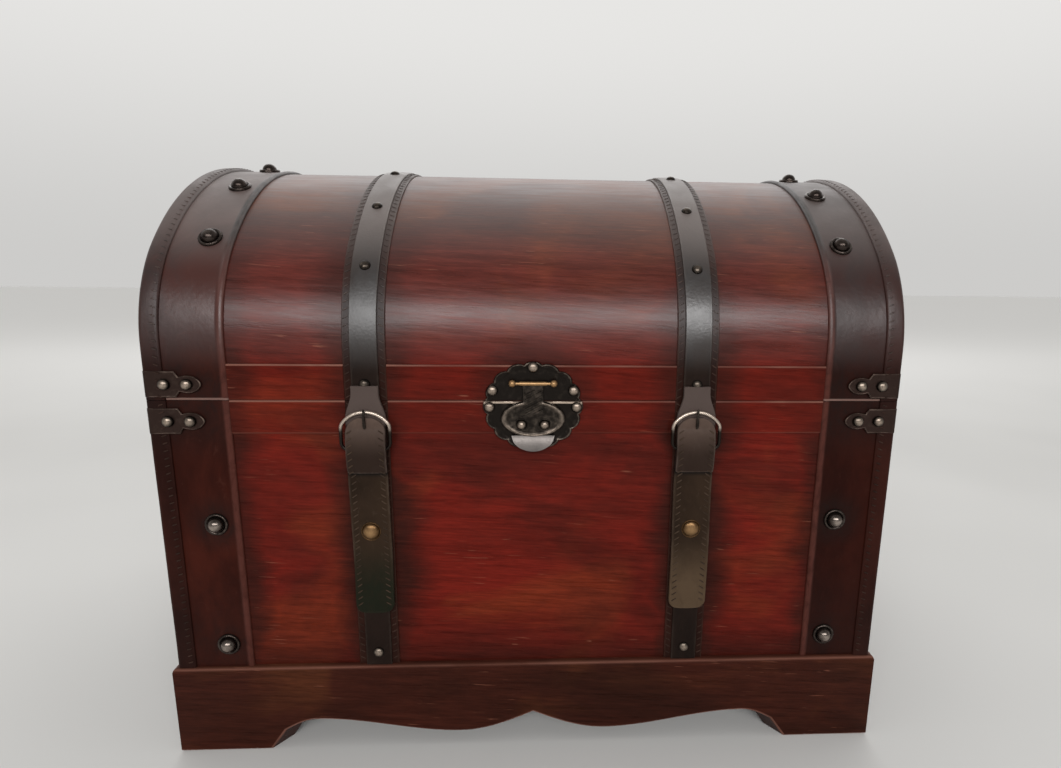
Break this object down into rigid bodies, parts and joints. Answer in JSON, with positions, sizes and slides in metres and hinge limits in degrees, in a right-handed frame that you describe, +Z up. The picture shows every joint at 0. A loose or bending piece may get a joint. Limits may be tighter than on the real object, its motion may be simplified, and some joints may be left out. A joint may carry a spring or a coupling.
{
  "type": "domed wooden storage chest",
  "caption": "Domed wooden storage chest with leather bands and straps, buckled strap ends, a hinged lid, a hasp on a scalloped plate and a shaped plinth.",
  "frame": {"origin": "on the floor, under the middle of the chest", "axes": "+X along the width to the viewer's right, +Y from the front to the hinged back, +Z up"},
  "size_m": [0.609, 0.4181, 0.5099],
  "materials": {
    "red_wood": "satin lacquer, mahogany red",
    "inner_wood": "bare wood",
    "plinth_wood": "dark brown lacquer, worn edges",
    "trim_wood": "satin lacquer",
    "band_leather": "dark brown leather",
    "binding_leather": "stitched dark leather",
    "base_leather": "stitched dark brown leather",
    "strap_leather": "near black leather",
    "flap_leather": "worn grey-brown leather",
    "brass": "aged brass",
    "bronze": "dark antique bronze",
    "buckle_metal": "aged brass",
    "hinge_metal": "dull bronzed steel"
  },
  "bodies": {
    "box": {"front_wall": "red_wood", "back_wall": "red_wood", "left_wall": "red_wood", "right_wall": "red_wood", "floor_panel": "inner_wood", "plinth_front": "plinth_wood", "plinth_back": "plinth_wood", "plinth_left": "plinth_wood", "plinth_right": "plinth_wood", "plinth_corner_blocks": "plinth_wood", "body_trim_strip": "trim_wood", "body_band_front_left": "band_leather", "body_band_front_right": "band_leather", "body_bands_back": "band_leather", "body_bindings": "binding_leather", "body_strap_base_left": "base_leather", "body_strap_base_right": "base_leather", "body_strap_left": "strap_leather", "body_strap_right": "strap_leather", "body_band_studs": "bronze", "body_nails": "bronze", "corner_brackets_body": "bronze", "lock_plate_lower": "bronze", "snap_studs": "brass", "hinge_leaves_body": "hinge_metal", "hinge_screws_body": "hinge_metal", "hinge_pins": "hinge_metal"},
    "lid": {"lid_front_rail": "inner_wood", "lid_back_rail": "inner_wood", "lid_left_end": "red_wood", "lid_right_end": "red_wood", "lid_dome_panel": "red_wood", "lid_trim_strip": "trim_wood", "lid_band_left": "band_leather", "lid_band_right": "band_leather", "lid_binding_left": "binding_leather", "lid_binding_right": "binding_leather", "lid_strap_base_left": "base_leather", "lid_strap_base_right": "base_leather", "lid_strap_left": "strap_leather", "lid_strap_right": "strap_leather", "lid_band_studs": "bronze", "lid_nails": "bronze", "corner_brackets_lid": "bronze", "lock_plate_upper": "bronze", "hasp_pin": "brass", "hinge_leaves_lid": "hinge_metal", "hinge_screws_lid": "hinge_metal"},
    "hasp": {"hasp": "bronze", "hasp_rivets": "bronze"},
    "strap_left": {"strap_flap_left": "flap_leather", "strap_tab_left": "flap_leather", "buckle_left": "buckle_metal", "buckle_prong_left": "buckle_metal", "snap_cap_left": "brass"},
    "strap_right": {"strap_flap_right": "flap_leather", "strap_tab_right": "flap_leather", "buckle_right": "buckle_metal", "buckle_prong_right": "buckle_metal", "snap_cap_right": "brass"}
  },
  "joints": [
    {"name": "lid_hinge", "type": "hinge", "parent": "box", "child": "lid", "pos_m": [0, 0.2023, 0.311], "axis": [-1, 0, 0], "range_deg": [0, 105]},
    {"name": "hasp_swing", "type": "hinge", "parent": "lid", "child": "hasp", "pos_m": [0, -0.2053, 0.326], "axis": [-1, 0, 0], "range_deg": [0, 120]},
    {"name": "strap_left_lift", "type": "hinge", "parent": "lid", "child": "strap_left", "pos_m": [-0.132, -0.2044, 0.3175], "axis": [-1, 0, 0], "range_deg": [0, 110]},
    {"name": "strap_right_lift", "type": "hinge", "parent": "lid", "child": "strap_right", "pos_m": [0.132, -0.2044, 0.3175], "axis": [-1, 0, 0], "range_deg": [0, 110]}
  ]
}
